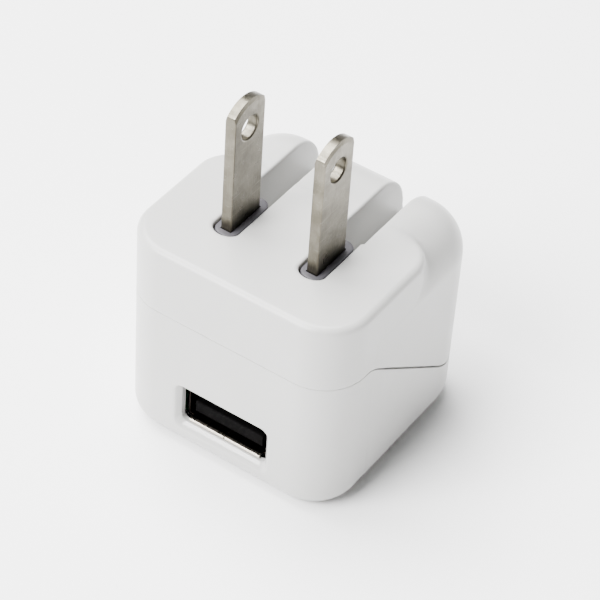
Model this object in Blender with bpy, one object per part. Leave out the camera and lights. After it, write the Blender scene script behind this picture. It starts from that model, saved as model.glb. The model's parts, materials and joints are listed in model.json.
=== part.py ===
"""USB wall charger with two folding blades, built piece by piece.

Metres, +Z up. The case rests on z = 0 with its middle over the origin, the USB port
faces -Y and the blades stand on the outlet face, which looks up. Sizes below are in
millimetres and are turned into metres when a mesh is made.
"""
import math

import bmesh
import bpy
from mathutils import Vector

MM = 0.001

# Case: an upright front column with rounded corners, joined to a softer rear body.
CASE_WIDTH = 33.0
CASE_DEPTH = 32.7
CASE_HEIGHT = 31.0
WALL = 1.5
FRONT = -CASE_DEPTH / 2
REAR = CASE_DEPTH / 2
TOP = CASE_HEIGHT
COLUMN_WIDTH = 32.9
COLUMN_DEPTH = 21.7
COLUMN_FRONT_RADIUS = 6.2
COLUMN_REAR_RADIUS = 4.8
COLUMN_TOP_ROUND = 1.0
REAR_BODY_START = 2.5
REAR_BODY_RADIUS = 6.8
REAR_BODY_TOP_ROUND = 6.5
REAR_BODY_DROP = 0.04
BASE_ROUND = 3.0

# The line between the two mouldings, from the front face to the rear face.
SEAM_GAP = 0.25
SEAM_FRONT_DROP = 9.75
SEAM_BEND_SETBACK = 7.85
SEAM_REAR_SETBACK = 26.4
SEAM_REAR_HEIGHT = 7.3
LIP_ROOT_INSET = 1.3
LIP_OUTER_INSET = 1.8
LIP_INNER_INSET = 2.6
LIP_RISE = 1.2

# Blades (NEMA 1-15) and the slots that they fold into.
BLADE_SPACING = 12.7
BLADE_CENTRES = {"left": -BLADE_SPACING / 2, "right": BLADE_SPACING / 2}
BLADE_SETBACK = 11.7
BLADE_THICKNESS = 1.5
BLADE_WIDTH = 6.1
BLADE_LENGTH = 18.2
BLADE_TIP_RISE = 1.2
BLADE_COIN = 0.45
BLADE_HOLE_RADIUS = 1.65
BLADE_HOLE_HEIGHT = 14.1
BLADE_ROOT_DEPTH = 3.0
TAIL_FRONT = -2.6
TAIL_REAR = -0.4
TAIL_DEPTH = 8.4
SLOT_HALF_WIDTH = 1.85
SLOT_RELIEF = 0.3
SLOT_RELIEF_START = 4.9
SLOT_FRONT = -4.3
SLOT_DEPTH = 8.3
SLOT_FLOOR_START = 6.0
TROUGH_WALL = 1.2

# Carrier that turns with both blades.
PIVOT_OFFSET = -1.2
PIVOT_DEPTH = 3.6
HUB_HALF_WIDTH = 1.65
HUB_RADIUS = 2.85
HUB_RISE = 3.25
HUB_REACH = 5.8
HUB_REAR_FOOT = 1.2
SHAFT_RADIUS = 1.5
CAM_HALF_WIDTH = 2.0
CAM_FLAT = 1.4
CAM_CORNER = 1.8
TRUNNION_RADIUS = 1.4
TRUNNION_END = 10.2
BEARING_INNER = 8.6
BEARING_OUTER = 10.4
BEARING_HALF_DEPTH = 2.4
SADDLE_HALF_DEPTH = 2.0
RUNNING_GAP = 0.3
SNUG_GAP = 0.2

# Retainer under the carrier.
RETAINER_TOP = -10.0
RETAINER_THICKNESS = 1.0
RETAINER_HALF_WIDTH = 13.2
RETAINER_FRONT = -4.0
RETAINER_REAR = 5.2
STAKE_X = 12.0
STAKE_Y = 3.5
STAKE_BOSS_RADIUS = 1.2
STAKE_PIN_RADIUS = 0.7

# Springs, bent from strip.
STRIP_THICKNESS = 0.3
STRIP_HALF_WIDTH = 1.5
AC_RISER = 5.2

# USB type A receptacle.
PORT_HEIGHT = 7.25
PORT_WIDTH = 13.0
PORT_TALL = 6.3
PORT_RADIUS = 0.9
FUNNEL_DEPTH = 0.8
FUNNEL_SIDE = 0.65
FUNNEL_HEAD = 0.3
FUNNEL_FOOT = 0.9
SHELL_WIDTH = 12.6
SHELL_TALL = 5.9
SHELL_GAUGE = 0.3
SHELL_START = FRONT + 1.1
SHELL_LENGTH = 12.5
SHELL_RADIUS = 0.7
EAR_REACH = 1.4
EAR_PLACES = (-11.5, -6.0)
TONGUE_HALF_WIDTH = 5.2
TONGUE_START = 0.8
TONGUE_TOP = 0.0
TONGUE_FOOT = -1.8
CONTACT_GAUGE = 0.25
CONTACT_HALF_WIDTH = 0.5
CONTACT_PLACES = (-3.5, -1.0, 1.0, 3.5)
CONTACT_TAIL = 1.3

# Circuit board.
BOARD_TOP = 4.65
BOARD_THICKNESS = 1.0
BOARD_HALF_WIDTH = 13.6
BOARD_FRONT = -13.6
BOARD_REAR = 13.3
BOARD_RADIUS = 5.0
POST_PLACES = ((-11.2, -11.9), (11.2, -11.9), (-11.2, 3.9), (11.2, 6.2))
LEAD_RADIUS = 0.3
LEAD_HOLE_RADIUS = 0.6
LEAD_END = 2.9
SEATING = 0.3

# Middle of each pair of round leads, and half the distance between them along Y.
LEAD_PAIRS = {
    "bulk_capacitor_left": (-10.9, -8.7, 1.25),
    "bulk_capacitor_right": (10.9, -8.7, 1.25),
    "output_capacitor": (10.4, 3.2, 1.25),
    "filter_choke": (-10.9, 0.2, 1.5),
    "y_capacitor": (10.4, 9.8, 2.2),
    "optocoupler": (-10.4, 7.0, 1.27),
    "fusible_resistor": (-9.6, 11.0, 0.0),
}
# Half the distance along X between the leads of the parts that also have them side by side.
LEAD_SPREAD = {"optocoupler": 2.0, "fusible_resistor": 1.8}
BULK_CAN = (3.15, 10.5)
OUTPUT_CAN = (3.0, 8.0)
CHOKE_FLANGE_RADIUS = 2.7
CHOKE_WAIST_RADIUS = 2.3
CHOKE_HEIGHT = 7.4
DISC_RADIUS = 3.0
DISC_HALF_THICKNESS = 1.5
RESISTOR_RADIUS = 1.15
RESISTOR_HALF_LENGTH = 2.3
COUPLER_HALF_X = 2.7
COUPLER_HALF_Y = 2.3
COUPLER_HEIGHT = 3.0

# Chips under the board: middle, half sizes, height and pins on each side.
CHIPS = {
    "bridge_rectifier": (-5.0, 9.5, 2.4, 1.9, 1.1, 2),
    "controller_chip": (0.0, 4.0, 2.5, 1.9, 1.1, 4),
    "output_diode": (6.0, 9.5, 2.2, 1.7, 1.0, 1),
}
SHEET_HALF_WIDTH = 9.5
SHEET_HALF_DEPTH = 12.5
SHEET_LIFT = 0.25
SHEET_THICKNESS = 0.2

# Transformer.
CORE_HALF_WIDTH = 7.0
CORE_FRONT = 2.15
CORE_REAR = 13.35
CORE_HEIGHT = 11.7
CORE_HALF_TALL = 2.5
CORE_BACK = 1.8
CENTRE_LEG = 1.9
OUTER_LEG = 5.4

CORNER_STEPS = 7
EDGE_STEPS = 5
ROUND_SIDES = 24

MATERIALS = {
    "white_plastic": ((0.83, 0.82, 0.80), 0.38, 0.0),
    "grey_plastic": ((0.42, 0.42, 0.42), 0.45, 0.0),
    "inner_plastic": ((0.72, 0.70, 0.64), 0.5, 0.0),
    "nickel_plate": ((0.55, 0.53, 0.50), 0.36, 1.0),
    "spring_metal": ((0.70, 0.52, 0.33), 0.3, 1.0),
    "tinned_steel": ((0.62, 0.62, 0.62), 0.28, 1.0),
    "black_plastic": ((0.03, 0.03, 0.03), 0.45, 0.0),
    "gold_plate": ((0.90, 0.66, 0.30), 0.22, 1.0),
    "board_laminate": ((0.05, 0.22, 0.09), 0.5, 0.0),
    "ferrite": ((0.06, 0.06, 0.065), 0.7, 0.0),
    "winding_tape": ((0.86, 0.62, 0.06), 0.35, 0.0),
    "capacitor_sleeve": ((0.05, 0.07, 0.16), 0.35, 0.0),
    "ceramic_blue": ((0.08, 0.25, 0.55), 0.4, 0.0),
    "resistor_lacquer": ((0.22, 0.40, 0.36), 0.45, 0.0),
    "epoxy": ((0.025, 0.025, 0.028), 0.55, 0.0),
    "insulating_film": ((0.80, 0.78, 0.70), 0.3, 0.0),
}


# Outlines -------------------------------------------------------------------------------

def arc(centre_a, centre_b, radius, start, end, steps):
    """Points on an arc between two angles in degrees, both ends included."""
    angles = [math.radians(start + (end - start) * i / steps) for i in range(steps + 1)]
    return [(centre_a + radius * math.cos(a), centre_b + radius * math.sin(a)) for a in angles]


def circle(centre_a, centre_b, radius, sides=ROUND_SIDES):
    """A closed round outline."""
    return arc(centre_a, centre_b, radius, 0, 360 - 360 / sides, sides - 1)


def rectangle(low_a, high_a, low_b, high_b):
    """A closed rectangular outline."""
    return [(low_a, low_b), (high_a, low_b), (high_a, high_b), (low_a, high_b)]


def rounded_rectangle(low_a, high_a, low_b, high_b, low_radius, high_radius, steps=CORNER_STEPS):
    """A rectangle with one corner radius on its low-b side and one on its high-b side."""
    points = arc(high_a - high_radius, high_b - high_radius, high_radius, 0, 90, steps)
    points += arc(low_a + high_radius, high_b - high_radius, high_radius, 90, 180, steps)
    points += arc(low_a + low_radius, low_b + low_radius, low_radius, 180, 270, steps)
    points += arc(high_a - low_radius, low_b + low_radius, low_radius, 270, 360, steps)
    return points


def thicken(path, thickness):
    """The closed outline of a strip whose middle line is an open path."""
    points = [Vector(point) for point in path]
    left = []
    right = []
    for i, point in enumerate(points):
        along = (points[min(i + 1, len(points) - 1)] - points[max(i - 1, 0)]).normalized()
        across = Vector((-along.y, along.x)) * thickness / 2
        left.append(tuple(point + across))
        right.append(tuple(point - across))
    return left + right[::-1]


def from_outlet(y, z):
    """A point measured from the blades' middle plane and from the outlet face."""
    return (FRONT + BLADE_SETBACK + y, TOP + z)


# Solids ---------------------------------------------------------------------------------

def place(a, b, along, axis):
    """The corner at (a, b) on a section that stands at a distance along an axis."""
    if axis == "X":
        return (along * MM, a * MM, b * MM)
    if axis == "Y":
        return (a * MM, along * MM, b * MM)
    return (a * MM, b * MM, along * MM)


def loft(name, rings, axis="Z"):
    """A closed solid through sections of equal point count; rings holds (outline, distance)."""
    bm = bmesh.new()
    loops = []
    for outline, along in rings:
        loops.append([bm.verts.new(place(a, b, along, axis)) for a, b in outline])
    count = len(loops[0])
    for lower, upper in zip(loops, loops[1:]):
        for i in range(count):
            j = (i + 1) % count
            bm.faces.new((lower[i], lower[j], upper[j], upper[i]))
    bm.faces.new(loops[0])
    bm.faces.new(loops[-1])
    bmesh.ops.recalc_face_normals(bm, faces=bm.faces)
    mesh = bpy.data.meshes.new(name)
    bm.to_mesh(mesh)
    bm.free()
    solid = bpy.data.objects.new(name, mesh)
    bpy.context.scene.collection.objects.link(solid)
    return solid


def extrude(name, outline, start, end, axis="Z"):
    """A straight prism between two distances along an axis."""
    return loft(name, [(outline, start), (outline, end)], axis)


def block(name, low_x, high_x, low_y, high_y, low_z, high_z):
    """A rectangular block."""
    return extrude(name, rectangle(low_x, high_x, low_y, high_y), low_z, high_z)


def turned(name, centre_a, centre_b, profile, axis="Z", sides=ROUND_SIDES):
    """A solid of revolution; profile holds (radius, distance along the axis)."""
    return loft(name, [(circle(centre_a, centre_b, r, sides), along) for r, along in profile], axis)


def combine(target, tool, operation):
    """Applies one exact Boolean to target and removes the tool."""
    modifier = target.modifiers.new(operation, "BOOLEAN")
    modifier.operation = operation
    modifier.solver = "EXACT"
    modifier.object = tool
    graph = bpy.context.evaluated_depsgraph_get()
    result = bpy.data.meshes.new_from_object(target.evaluated_get(graph))
    target.modifiers.clear()
    target.data = result
    bpy.data.objects.remove(tool)
    return target


def join(target, tool):
    return combine(target, tool, "UNION")


def cut(target, tool):
    return combine(target, tool, "DIFFERENCE")


def keep(target, tool):
    return combine(target, tool, "INTERSECT")


def group(name, solids):
    """Several solids that don't touch, as one object."""
    bm = bmesh.new()
    for solid in solids:
        bm.from_mesh(solid.data)
        bpy.data.objects.remove(solid)
    mesh = bpy.data.meshes.new(name)
    bm.to_mesh(mesh)
    bm.free()
    grouped = bpy.data.objects.new(name, mesh)
    bpy.context.scene.collection.objects.link(grouped)
    return grouped


def make_material(name):
    """A Principled material with the colour, roughness and metallic value of a finish."""
    colour, roughness, metallic = MATERIALS[name]
    material = bpy.data.materials.get(name) or bpy.data.materials.new(name)
    material.use_nodes = True
    shader = material.node_tree.nodes["Principled BSDF"]
    shader.inputs["Base Color"].default_value = (*colour, 1.0)
    shader.inputs["Roughness"].default_value = roughness
    shader.inputs["Metallic"].default_value = metallic
    material.diffuse_color = (*colour, 1.0)
    return material


def finish(solid, material, smooth=False):
    """Gives a finished piece its material and its shading."""
    solid.data.materials.clear()
    solid.data.materials.append(make_material(material))
    if smooth:
        solid.data.shade_smooth()
        solid.data.set_sharp_from_angle(angle=math.radians(35))
    return solid


# Case -----------------------------------------------------------------------------------

def rounded_column(name, half_width, front, rear, radii, top, rounds, inset):
    """An upright rounded body, pulled in by inset on every side."""
    base_round, top_round = [max(r - inset, 0.3) for r in rounds]
    rings = []

    def add_ring(pull, height):
        total = inset + pull
        front_radius, rear_radius = [max(r - total, 0.4) for r in radii]
        rings.append((rounded_rectangle(-half_width + total, half_width - total,
                                        front + total, rear - total,
                                        front_radius, rear_radius), height))

    for i in range(EDGE_STEPS + 1):
        turn = math.radians(90 * (1 - i / EDGE_STEPS))
        add_ring(base_round * (1 - math.cos(turn)), inset + base_round * (1 - math.sin(turn)))
    for i in range(EDGE_STEPS + 1):
        turn = math.radians(90 * i / EDGE_STEPS)
        add_ring(top_round * (1 - math.cos(turn)), top - inset - top_round * (1 - math.sin(turn)))
    return loft(name, rings)


def case_solid(name, inset=0.0):
    """The filled outer shape of the case, pulled in by inset."""
    column = rounded_column(name, COLUMN_WIDTH / 2, FRONT, FRONT + COLUMN_DEPTH,
                            (COLUMN_FRONT_RADIUS, COLUMN_REAR_RADIUS), TOP,
                            (BASE_ROUND, COLUMN_TOP_ROUND), inset)
    rear = rounded_column("rear_body", CASE_WIDTH / 2, FRONT + REAR_BODY_START, REAR,
                          (REAR_BODY_RADIUS, REAR_BODY_RADIUS), TOP - REAR_BODY_DROP,
                          (BASE_ROUND, REAR_BODY_TOP_ROUND), inset)
    return join(column, rear)


def case_skin(name, outer_inset, inner_inset):
    """The layer of the case between two insets."""
    return cut(case_solid(name, outer_inset), case_solid("hollow", inner_inset))


def seam_line(lift):
    """The seam in side view, front to rear, moved up by lift."""
    bend = FRONT + SEAM_BEND_SETBACK
    rear_bend = FRONT + SEAM_REAR_SETBACK
    return [(FRONT - 5, TOP - SEAM_FRONT_DROP + lift), (bend, TOP - SEAM_FRONT_DROP + lift),
            (rear_bend, SEAM_REAR_HEIGHT + lift), (REAR + 5, SEAM_REAR_HEIGHT + lift)]


def side_region(name, low_line, high_line):
    """Everything between two lines of the side view, right across the case."""
    return extrude(name, low_line + high_line[::-1], -CASE_WIDTH, CASE_WIDTH, "X")


def level(height):
    """A level line of the side view, longer than the case."""
    return [(FRONT - 5, height), (REAR + 5, height)]


def slot_cutter(centre):
    """The channel that one blade folds into, round in front, open at the top and the rear.

    Its outer wall steps outwards behind the hub.
    """
    middle, floor = from_outlet(SLOT_FRONT + SLOT_HALF_WIDTH, -SLOT_DEPTH)
    jog = from_outlet(SLOT_RELIEF_START, 0)[0]
    half = SLOT_HALF_WIDTH
    wide = half + SLOT_RELIEF
    outline = arc(0, middle, half, 180, 360, 12)
    outline += [(half, jog - SLOT_RELIEF), (wide, jog), (wide, REAR + 5), (-half, REAR + 5)]
    side = math.copysign(1, centre)
    return extrude("slot", [(centre + side * x, y) for x, y in outline], floor, TOP + 5)


def bearing_notch(name, side):
    """The round seat of one trunnion, running past both faces of its bearing."""
    y, z = from_outlet(PIVOT_OFFSET, -PIVOT_DEPTH)
    ends = sorted((side * (BEARING_INNER - 1), side * (BEARING_OUTER + 1)))
    return extrude(name, circle(y, z, TRUNNION_RADIUS + RUNNING_GAP), *ends, "X")


def make_rear_housing():
    """Upper and rear moulding, with the slots, upper bearings and staking bosses."""
    housing = case_skin("rear_housing", 0.0, WALL)
    keep(housing, side_region("above", seam_line(SEAM_GAP / 2), level(TOP + 5)))
    trough_half = SLOT_HALF_WIDTH + TROUGH_WALL
    trough_front, trough_floor = from_outlet(SLOT_FLOOR_START, -SLOT_DEPTH - TROUGH_WALL)
    pivot_y, pivot_z = from_outlet(PIVOT_OFFSET, -PIVOT_DEPTH)
    stake_y, plate_top = from_outlet(STAKE_Y, RETAINER_TOP)
    for centre in BLADE_CENTRES.values():
        side = math.copysign(1, centre)
        trough = block("trough", centre - trough_half, centre + trough_half,
                       trough_front, REAR, trough_floor, TOP)
        join(housing, keep(trough, case_solid("trough_limit", WALL / 2)))
        low_x, high_x = sorted((side * BEARING_INNER, side * BEARING_OUTER))
        bearing = block("bearing", low_x, high_x, pivot_y - BEARING_HALF_DEPTH,
                        pivot_y + BEARING_HALF_DEPTH, pivot_z, TOP - WALL / 2)
        join(housing, cut(bearing, bearing_notch("seat", side)))
        boss = turned("boss", side * STAKE_X, stake_y,
                      [(STAKE_PIN_RADIUS, plate_top - RETAINER_THICKNESS - 0.8),
                       (STAKE_PIN_RADIUS, plate_top + RUNNING_GAP),
                       (STAKE_BOSS_RADIUS, plate_top + RUNNING_GAP),
                       (STAKE_BOSS_RADIUS, TOP - WALL / 2)], sides=12)
        join(housing, boss)
    for centre in BLADE_CENTRES.values():
        cut(housing, slot_cutter(centre))
    return finish(housing, "white_plastic", smooth=True)


def port_cutter():
    """The USB opening: a straight throat that flares towards the front face."""
    def ring(opening, along):
        half = PORT_WIDTH / 2 + opening * FUNNEL_SIDE
        low_z = PORT_HEIGHT - PORT_TALL / 2 - opening * FUNNEL_FOOT
        high_z = PORT_HEIGHT + PORT_TALL / 2 + opening * FUNNEL_HEAD
        radius = PORT_RADIUS + opening * FUNNEL_HEAD
        return (rounded_rectangle(-half, half, low_z, high_z, radius, radius, 5), along)
    return loft("port", [ring(2, FRONT - FUNNEL_DEPTH), ring(0, FRONT + FUNNEL_DEPTH),
                         ring(0, FRONT + 2 * WALL)], "Y")


def make_front_housing():
    """Lower and front moulding, with the USB opening, seam lip and board posts."""
    housing = case_skin("front_housing", 0.0, WALL)
    keep(housing, side_region("below", level(-5), seam_line(-SEAM_GAP / 2)))
    root = case_skin("lip_root", LIP_ROOT_INSET, LIP_INNER_INSET)
    join(housing, keep(root, side_region("band", seam_line(-2.0), seam_line(-0.4))))
    tongue = case_skin("lip", LIP_OUTER_INSET, LIP_INNER_INSET)
    join(housing, keep(tongue, side_region("band", seam_line(-1.2), seam_line(LIP_RISE))))
    post_top = BOARD_TOP - BOARD_THICKNESS - RUNNING_GAP
    for x, y in POST_PLACES:
        join(housing, turned("post", x, y, [(1.4, WALL / 2), (1.1, post_top)], sides=12))
    cut(housing, port_cutter())
    return finish(housing, "white_plastic", smooth=True)


# Blades and carrier ---------------------------------------------------------------------

def blade_outline(pull):
    """Side view of a blade, its edges pulled in by the coining at the faces."""
    half = BLADE_WIDTH / 2 - pull / 3
    shoulder = BLADE_LENGTH - BLADE_TIP_RISE - pull
    radius = (half ** 2 + BLADE_TIP_RISE ** 2) / (2 * BLADE_TIP_RISE)
    sweep = math.degrees(math.asin(half / radius))
    tip = arc(0, shoulder + BLADE_TIP_RISE - radius, radius, 90 - sweep, 90 + sweep, 10)
    outline = tip + [(-half, -BLADE_ROOT_DEPTH), (TAIL_FRONT, -BLADE_ROOT_DEPTH),
                     (TAIL_FRONT, -TAIL_DEPTH), (TAIL_REAR, -TAIL_DEPTH),
                     (TAIL_REAR, -BLADE_ROOT_DEPTH), (half, -BLADE_ROOT_DEPTH)]
    return [from_outlet(y, z) for y, z in outline]


def make_blade(side_name, centre):
    """One folding blade with its coined tip, round hole and contact tail."""
    half = BLADE_THICKNESS / 2
    flat = half - BLADE_COIN / 2
    rings = [(blade_outline(BLADE_COIN), centre - half), (blade_outline(0), centre - flat),
             (blade_outline(0), centre + flat), (blade_outline(BLADE_COIN), centre + half)]
    blade = loft("blade_" + side_name, rings, "X")
    hole_y, hole_z = from_outlet(0, BLADE_HOLE_HEIGHT)
    cut(blade, extrude("hole", circle(hole_y, hole_z, BLADE_HOLE_RADIUS),
                       centre - 2, centre + 2, "X"))
    return finish(blade, "nickel_plate", smooth=True)


def hub_outline():
    """Side view of a hub: a barrel round the pivot with a squared top and a rear arm."""
    corner = 0.5
    outline = arc(HUB_REACH - corner, HUB_RISE - corner, corner, 0, 90, 3)
    outline += arc(-HUB_RADIUS + corner, HUB_RISE - corner, corner, 90, 180, 3)
    outline += arc(0, 0, HUB_RADIUS, 180, 300, 10)
    outline += [(HUB_REACH, HUB_REAR_FOOT)]
    return [from_outlet(PIVOT_OFFSET + y, z - PIVOT_DEPTH) for y, z in outline]


def make_blade_carrier():
    """Both hubs, the cross shaft with its detent cam and the two trunnions."""
    pivot_y, pivot_z = from_outlet(PIVOT_OFFSET, -PIVOT_DEPTH)
    inner = BLADE_SPACING / 2 - HUB_HALF_WIDTH + 0.5
    carrier = extrude("blade_carrier", circle(pivot_y, pivot_z, SHAFT_RADIUS), -inner, inner, "X")
    cam = extrude("cam", rectangle(pivot_y - CAM_FLAT, pivot_y + CAM_FLAT,
                                   pivot_z - CAM_FLAT, pivot_z + CAM_FLAT),
                  -CAM_HALF_WIDTH, CAM_HALF_WIDTH, "X")
    keep(cam, extrude("cam_limit", circle(pivot_y, pivot_z, CAM_CORNER),
                      -CAM_HALF_WIDTH - 1, CAM_HALF_WIDTH + 1, "X"))
    join(carrier, cam)
    for centre in BLADE_CENTRES.values():
        side = math.copysign(1, centre)
        hub = extrude("hub", hub_outline(), centre - HUB_HALF_WIDTH, centre + HUB_HALF_WIDTH, "X")
        plan_front, low = from_outlet(PIVOT_OFFSET - HUB_RADIUS, -2 * SLOT_DEPTH)
        plan_rear, high = from_outlet(PIVOT_OFFSET + HUB_REACH, SLOT_DEPTH)
        radius = HUB_HALF_WIDTH * 0.98
        plan = rounded_rectangle(centre - HUB_HALF_WIDTH, centre + HUB_HALF_WIDTH,
                                 plan_front, plan_rear, radius, radius, 6)
        keep(hub, extrude("hub_plan", plan, low, high))
        start = centre + side * (HUB_HALF_WIDTH - 0.5)
        low_x, high_x = sorted((start, side * TRUNNION_END))
        join(hub, extrude("trunnion", circle(pivot_y, pivot_z, TRUNNION_RADIUS),
                          low_x, high_x, "X"))
        join(carrier, hub)
        cut(carrier, blade_pocket(centre))
    return finish(carrier, "grey_plastic", smooth=True)


def blade_pocket(centre):
    """The space that a blade and its tail take in a hub, with a snug gap round them."""
    half = BLADE_WIDTH / 2 + SNUG_GAP
    outline = [(half, 1), (-half, 1), (-half, -BLADE_ROOT_DEPTH - SNUG_GAP),
               (TAIL_FRONT - SNUG_GAP, -BLADE_ROOT_DEPTH - SNUG_GAP),
               (TAIL_FRONT - SNUG_GAP, -TAIL_DEPTH), (TAIL_REAR + SNUG_GAP, -TAIL_DEPTH),
               (TAIL_REAR + SNUG_GAP, -BLADE_ROOT_DEPTH - SNUG_GAP),
               (half, -BLADE_ROOT_DEPTH - SNUG_GAP)]
    reach = BLADE_THICKNESS / 2 + SNUG_GAP
    return extrude("pocket", [from_outlet(y, z) for y, z in outline],
                   centre - reach, centre + reach, "X")


def make_carrier_retainer():
    """Plate that holds the carrier up in its bearings, open where the AC springs pass."""
    front, top = from_outlet(RETAINER_FRONT, RETAINER_TOP)
    rear, bottom = from_outlet(RETAINER_REAR, RETAINER_TOP - RETAINER_THICKNESS)
    retainer = extrude("carrier_retainer",
                       rounded_rectangle(-RETAINER_HALF_WIDTH, RETAINER_HALF_WIDTH,
                                         front, rear, 1.0, 1.0, 3), bottom, top)
    pivot_y, pivot_z = from_outlet(PIVOT_OFFSET, -PIVOT_DEPTH)
    window_front, stake_y = [from_outlet(y, 0)[0] for y in (-0.9, STAKE_Y)]
    for centre in BLADE_CENTRES.values():
        side = math.copysign(1, centre)
        low_x, high_x = sorted((side * BEARING_INNER, side * BEARING_OUTER))
        post = block("post", low_x, high_x, pivot_y - SADDLE_HALF_DEPTH, pivot_y + SADDLE_HALF_DEPTH,
                     top - RETAINER_THICKNESS / 2, pivot_z - RUNNING_GAP)
        join(retainer, cut(post, bearing_notch("seat", side)))
        window = block("window", centre - STRIP_HALF_WIDTH - RUNNING_GAP,
                       centre + STRIP_HALF_WIDTH + RUNNING_GAP,
                       window_front, rear + 2, bottom - 2, top + 1)
        cut(retainer, window)
        cut(retainer, extrude("stake_hole", circle(side * STAKE_X, stake_y,
                                                   STAKE_PIN_RADIUS + RUNNING_GAP, 12),
                              bottom - 1, top + 1))
    return finish(retainer, "inner_plastic")


def make_detent_spring():
    """Leaf under the cam that holds the blades open or folded."""
    crest = -PIVOT_DEPTH - CAM_CORNER - RUNNING_GAP - STRIP_THICKNESS / 2
    foot = RETAINER_TOP + RUNNING_GAP + STRIP_THICKNESS / 2
    path = [(4.6, foot), (3.4, foot)]
    path += [(2.4, foot + 0.5), (0.8, crest - 1.5), (-0.4, crest - 0.25)]
    path += [(PIVOT_OFFSET, crest), (-2.0, crest - 0.25), (-3.2, crest - 1.2)]
    outline = thicken([from_outlet(y, z) for y, z in path], STRIP_THICKNESS)
    return finish(extrude("detent_spring", outline, -CAM_HALF_WIDTH, CAM_HALF_WIDTH, "X"),
                  "spring_metal", smooth=True)


def make_ac_spring(side_name, centre):
    """Strip that rises from the board and bears on the tail of an open blade."""
    crest = -TAIL_DEPTH - RUNNING_GAP - STRIP_THICKNESS / 2
    path = [(AC_RISER, LEAD_END - TOP), (AC_RISER, -13.8)]
    path += arc(AC_RISER - 1.4, -13.8, 1.4, 20, 62, 3)
    path += [(0.2, -10.5), (-0.6, -9.8), (-1.2, crest - 0.1)]
    path += [(-1.6, crest), (-2.1, crest - 0.15), (-2.5, crest - 0.5)]
    outline = thicken([from_outlet(y, z) for y, z in path], STRIP_THICKNESS)
    spring = extrude("ac_spring_" + side_name, outline,
                     centre - STRIP_HALF_WIDTH, centre + STRIP_HALF_WIDTH, "X")
    return finish(spring, "spring_metal", smooth=True)


# USB receptacle -------------------------------------------------------------------------

def make_usb_shell():
    """Folded steel shell, open at both ends, with ears that rest on the board."""
    start = SHELL_START
    half = SHELL_WIDTH / 2
    low = PORT_HEIGHT - SHELL_TALL / 2
    high = PORT_HEIGHT + SHELL_TALL / 2
    shell = extrude("usb_shell", rounded_rectangle(-half, half, low, high, SHELL_RADIUS,
                                                   SHELL_RADIUS, 4), start,
                    start + SHELL_LENGTH, "Y")
    inner = rounded_rectangle(-half + SHELL_GAUGE, half - SHELL_GAUGE, low + SHELL_GAUGE,
                              high - SHELL_GAUGE, SHELL_RADIUS - SHELL_GAUGE,
                              SHELL_RADIUS - SHELL_GAUGE, 4)
    ear_foot = BOARD_TOP + RUNNING_GAP
    for y in EAR_PLACES:
        join(shell, block("ears", -half - EAR_REACH, half + EAR_REACH, y - 1, y + 1,
                          ear_foot, ear_foot + SHELL_GAUGE))
    cut(shell, extrude("bore", inner, start - 1, start + SHELL_LENGTH + 1, "Y"))
    return finish(shell, "tinned_steel", smooth=True)


def make_usb_insulator():
    """Tongue that carries the contacts, on a block that closes the rear of the shell."""
    start = SHELL_START
    half = SHELL_WIDTH / 2 - SHELL_GAUGE - SEATING
    half_tall = SHELL_TALL / 2 - SHELL_GAUGE - SEATING
    insulator = block("usb_insulator", -half, half, start + SHELL_LENGTH - 4.2,
                      start + SHELL_LENGTH - 0.3, PORT_HEIGHT - half_tall, PORT_HEIGHT + half_tall)
    join(insulator, block("tongue", -TONGUE_HALF_WIDTH, TONGUE_HALF_WIDTH, start + TONGUE_START,
                          start + SHELL_LENGTH - 4.0, PORT_HEIGHT + TONGUE_FOOT,
                          PORT_HEIGHT + TONGUE_TOP))
    passage = CONTACT_PLACES[-1] + CONTACT_HALF_WIDTH + RUNNING_GAP
    cut(insulator, block("passage", -passage, passage, start + 5, start + SHELL_LENGTH + 1,
                         PORT_HEIGHT + TONGUE_TOP,
                         PORT_HEIGHT + TONGUE_TOP + 2 * RUNNING_GAP + CONTACT_GAUGE))
    return finish(insulator, "black_plastic")


def contact_tail():
    """How far back the contacts turn down into the board."""
    return SHELL_START + SHELL_LENGTH + CONTACT_TAIL


def make_usb_contact(number, centre):
    """Flat contact over the tongue that turns down through the board."""
    height = PORT_HEIGHT + TONGUE_TOP + RUNNING_GAP + CONTACT_GAUGE / 2
    start = SHELL_START + TONGUE_START + 1.6
    path = [(start, height - 0.15), (start + 0.6, height), (contact_tail() - 0.5, height)]
    path += [(contact_tail() - 0.15, height - 0.15), (contact_tail(), height - 0.5)]
    path += [(contact_tail(), LEAD_END)]
    contact = extrude("usb_contact_" + str(number), thicken(path, CONTACT_GAUGE),
                      centre - CONTACT_HALF_WIDTH, centre + CONTACT_HALF_WIDTH, "X")
    return finish(contact, "gold_plate")


# Circuit board and the parts on it ------------------------------------------------------

def lead(x, y, top):
    """One round lead from inside a part down through the board."""
    return turned("lead", x, y, [(LEAD_RADIUS, LEAD_END), (LEAD_RADIUS, top)], sides=8)


def add_leads(part, name, top):
    """Joins the pair of leads of a part that has two under it, one behind the other."""
    x, y, half = LEAD_PAIRS[name]
    for offset in (-half, half):
        join(part, lead(x, y + offset, top))
    return part


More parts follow.
